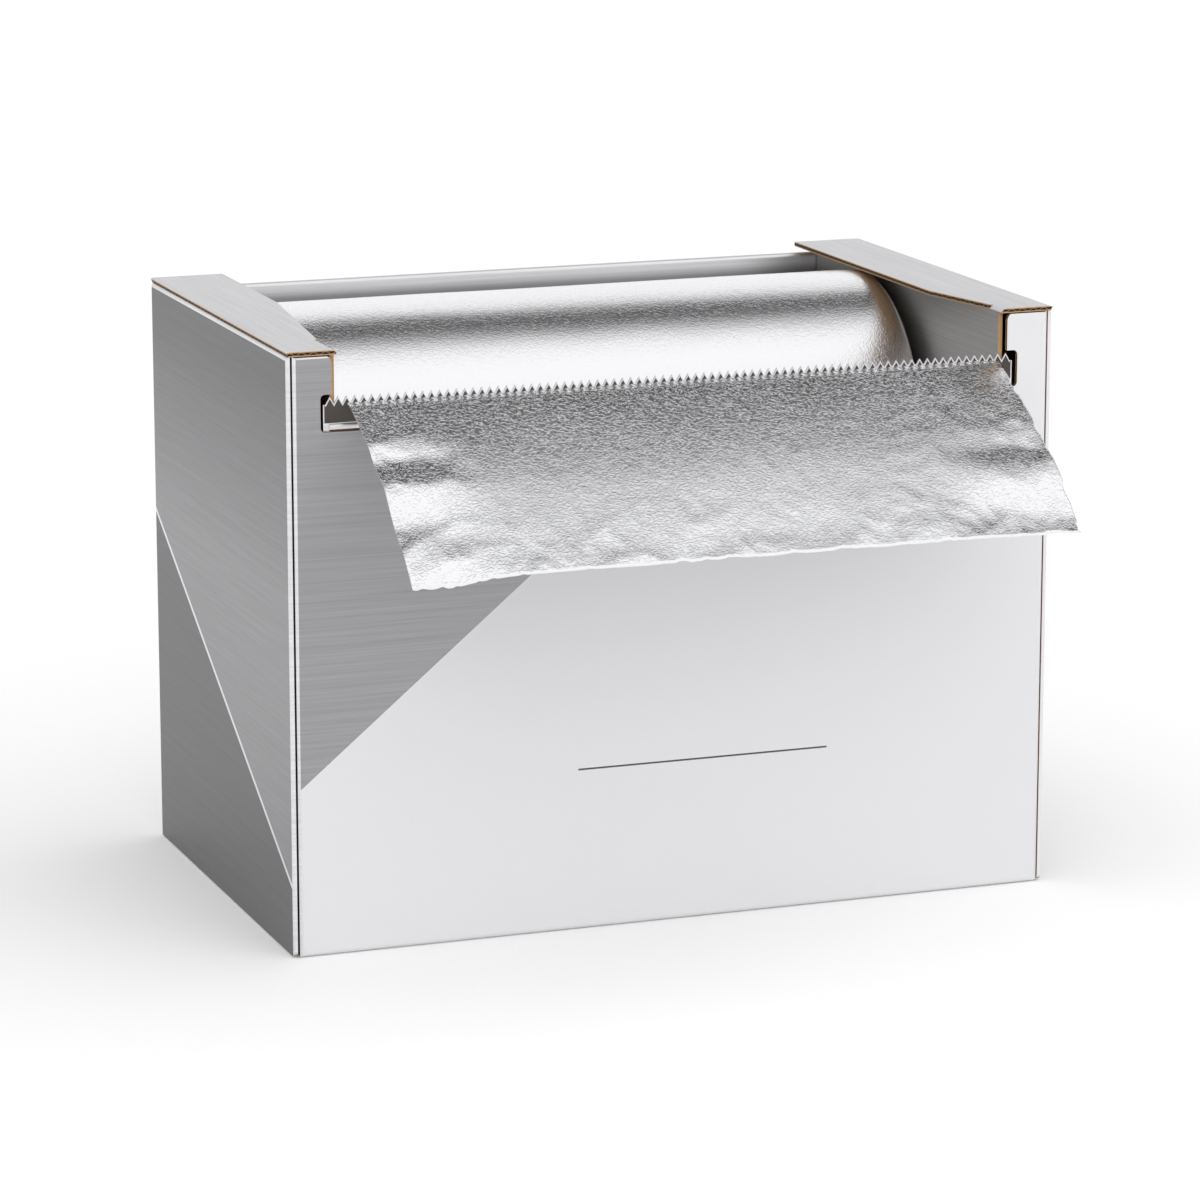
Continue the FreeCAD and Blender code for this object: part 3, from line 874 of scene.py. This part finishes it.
def add_panel(name, corners, material):
    """A flat panel of the stage through four corners."""
    bm = bmesh.new()
    bm.faces.new([bm.verts.new(c) for c in corners])
    mesh = bpy.data.meshes.new(name)
    bm.to_mesh(mesh)
    bm.free()
    mesh.materials.append(material)
    panel = bpy.data.objects.new(name, mesh)
    bpy.context.scene.collection.objects.link(panel)
    return panel


def seen_directly(tree):
    """1 for what the camera sees directly or in a mirror or through glass, else 0."""
    ray = add_node(tree, "ShaderNodeLightPath")
    first = add_node(tree, "ShaderNodeMath",
                     {0: ray.outputs["Is Camera Ray"], 1: ray.outputs["Is Glossy Ray"]}, operation="MAXIMUM")
    both = add_node(tree, "ShaderNodeMath", {0: first.outputs[0], 1: ray.outputs["Is Transmission Ray"]},
                    operation="MAXIMUM")
    return both.outputs[0]


FLOOR_HALF = 3.0
FLOOR_WHITE = (0.9, 0.9, 0.9, 1)
FLOOR_GLOW = 0.1
BOARD_LEFT = -1.0
BOARD_RIGHT = 1.5
BOARD_FRONT = -0.8
BOARD_FADE_START = -0.16
BOARD_FADE_STOP = 0.32
BOARD_BACK = 0.76
BOARD_HEIGHT = 1.1
BOARD_BRIGHT = 1.07
BOARD_DARK = 0.05


def white_floor():
    """A white sweep: it keeps the shadow and otherwise reads as white paper."""
    material = bpy.data.materials.new("white_floor")
    material.use_nodes = True
    tree = material.node_tree
    tree.nodes.clear()
    seen = seen_directly(tree)
    paper = add_node(tree, "ShaderNodeBsdfDiffuse", {"Color": FLOOR_WHITE})
    glow = add_node(tree, "ShaderNodeEmission", {"Color": (1, 1, 1, 1), "Strength": FLOOR_GLOW})
    shown = add_node(tree, "ShaderNodeAddShader", {0: paper.outputs[0], 1: glow.outputs[0]})
    mixed = add_node(tree, "ShaderNodeMixShader", {0: seen, 1: paper.outputs[0], 2: shown.outputs[0]})
    add_node(tree, "ShaderNodeOutputMaterial", {"Surface": mixed.outputs[0]})
    return material


def shaded_board():
    """A studio board that is white at its front and fades to dark towards its back."""
    material = bpy.data.materials.new("shaded_board")
    material.use_nodes = True
    tree = material.node_tree
    tree.nodes.clear()
    place = add_node(tree, "ShaderNodeTexCoord").outputs["Object"]
    axes = add_node(tree, "ShaderNodeSeparateXYZ", {0: place})
    level = add_node(tree, "ShaderNodeMapRange",
                     {"Value": axes.outputs[1], "From Min": BOARD_FADE_START, "From Max": BOARD_FADE_STOP,
                      "To Min": BOARD_BRIGHT, "To Max": BOARD_DARK}, interpolation_type="SMOOTHSTEP")
    glow = add_node(tree, "ShaderNodeEmission", {"Color": (1, 1, 1, 1), "Strength": level.outputs[0]})
    add_node(tree, "ShaderNodeOutputMaterial", {"Surface": glow.outputs[0]})
    return material


def add_shaded_board():
    """Hangs the board above the roll, where only polished surfaces mirror it."""
    corners = [(BOARD_LEFT, BOARD_FRONT, BOARD_HEIGHT), (BOARD_LEFT, BOARD_BACK, BOARD_HEIGHT),
               (BOARD_RIGHT, BOARD_BACK, BOARD_HEIGHT), (BOARD_RIGHT, BOARD_FRONT, BOARD_HEIGHT)]
    board = add_panel("shaded_board", corners, shaded_board())
    board.visible_camera = False
    board.visible_diffuse = False
    board.visible_shadow = False
    board.visible_transmission = False


def white_room(settings):
    """A white surrounding: full white where it is seen or mirrored, softer as light on matt surfaces."""
    world = bpy.data.worlds.new("white_room")
    world.use_nodes = True
    tree = world.node_tree
    tree.nodes.clear()
    seen = seen_directly(tree)
    strength = add_node(tree, "ShaderNodeMath", {0: seen, 1: 1 - settings.room_light, 2: settings.room_light},
                        operation="MULTIPLY_ADD")
    back = add_node(tree, "ShaderNodeBackground", {"Color": (1, 1, 1, 1), "Strength": strength.outputs[0]})
    add_node(tree, "ShaderNodeOutputWorld", {"Surface": back.outputs[0]})
    bpy.context.scene.world = world


KEY_SPREAD = math.radians(100)
KEY_AIM = Vector((-0.17, 0.46, -0.85))


def add_key_light(settings):
    """A large soft light from above the front, too wide to draw a hard shadow."""
    data = bpy.data.lights.new("key_light", "SUN")
    data.energy = settings.key_strength
    data.angle = KEY_SPREAD
    lamp = bpy.data.objects.new("key_light", data)
    lamp.rotation_euler = KEY_AIM.to_track_quat("-Z", "Y").to_euler()
    lamp.visible_glossy = False
    bpy.context.scene.collection.objects.link(lamp)


class FOILBOX_OT_stage(bpy.types.Operator):
    """Add the floor, the light and the camera"""
    bl_idname = "foilbox.stage"
    bl_label = "Stage"

    def execute(self, context):
        settings = context.scene.foilbox_stage
        add_camera(settings)
        white_room(settings)
        add_key_light(settings)
        add_shaded_board()
        half = FLOOR_HALF
        corners = [(-half, -half, 0), (half, -half, 0), (half, half, 0), (-half, half, 0)]
        add_panel("floor", corners, white_floor())
        return {"FINISHED"}


class FOILBOX_OT_carton(bpy.types.Operator):
    """Add the folded carton in its silver and white print"""
    bl_idname = "foilbox.carton"
    bl_label = "Carton"

    def execute(self, context):
        make_carton(context.scene.foilbox_carton)
        return {"FINISHED"}


class FOILBOX_OT_end_cards(bpy.types.Operator):
    """Add the two folded fittings that carry the core"""
    bl_idname = "foilbox.end_cards"
    bl_label = "End fittings"

    def execute(self, context):
        settings = context.scene.foilbox_carton
        materials = [silver_print("strip_silver", settings.strip_silver, ACROSS_TOP),
                     silver_print("shaded_wall_silver", settings.shaded_wall_silver), kraft_liner(settings), fluted_edge()]
        make_end_card("left_end_card", "left_end_fitting", -1, settings, materials)
        make_end_card("right_end_card", "right_end_fitting", 1, settings, materials)
        return {"FINISHED"}


class FOILBOX_OT_blade(bpy.types.Operator):
    """Add the toothed steel blade"""
    bl_idname = "foilbox.blade"
    bl_label = "Blade"

    def execute(self, context):
        make_blade(context.scene.foilbox_foil)
        return {"FINISHED"}


class FOILBOX_OT_core(bpy.types.Operator):
    """Add the wound card core"""
    bl_idname = "foilbox.core"
    bl_label = "Core"

    def execute(self, context):
        make_core()
        return {"FINISHED"}


class FOILBOX_OT_foil(bpy.types.Operator):
    """Add the wound foil and the sheet drawn off it"""
    bl_idname = "foilbox.foil"
    bl_label = "Foil"

    def execute(self, context):
        settings = context.scene.foilbox_foil
        surface = foil_surface("wound_foil", settings, 0.25, 0.22)
        make_foil_turns(settings, surface, foil_turn_edges(settings))
        make_foil_sheet(settings, foil_surface("drawn_foil", settings, 0.22, 0.4))
        return {"FINISHED"}


class FOILBOX_PT_panel(bpy.types.Panel):
    """Lists what can be added"""
    bl_idname = "FOILBOX_PT_panel"
    bl_label = "Foil roll dispenser"
    bl_space_type = "VIEW_3D"
    bl_region_type = "UI"
    bl_category = "Foil box"

    def draw(self, context):
        for operator in OPERATORS:
            self.layout.operator(operator.bl_idname)


SETTINGS = {"foilbox_carton": CartonSettings, "foilbox_foil": FoilSettings, "foilbox_stage": StageSettings}
OPERATORS = (FOILBOX_OT_stage, FOILBOX_OT_carton, FOILBOX_OT_end_cards, FOILBOX_OT_blade, FOILBOX_OT_core,
             FOILBOX_OT_foil)


def register():
    for group in SETTINGS.values():
        bpy.utils.register_class(group)
    for operator in OPERATORS:
        bpy.utils.register_class(operator)
    bpy.utils.register_class(FOILBOX_PT_panel)
    for name, group in SETTINGS.items():
        setattr(bpy.types.Scene, name, PointerProperty(type=group))


def unregister():
    for name in SETTINGS:
        delattr(bpy.types.Scene, name)
    bpy.utils.unregister_class(FOILBOX_PT_panel)
    for operator in reversed(OPERATORS):
        bpy.utils.unregister_class(operator)
    for group in SETTINGS.values():
        bpy.utils.unregister_class(group)


def main():
    register()
    bpy.context.scene.view_settings.view_transform = "Standard"
    bpy.ops.foilbox.stage()
    bpy.ops.foilbox.carton()
    bpy.ops.foilbox.end_cards()
    bpy.ops.foilbox.blade()
    bpy.ops.foilbox.core()
    bpy.ops.foilbox.foil()


if __name__ == "__main__":
    main()
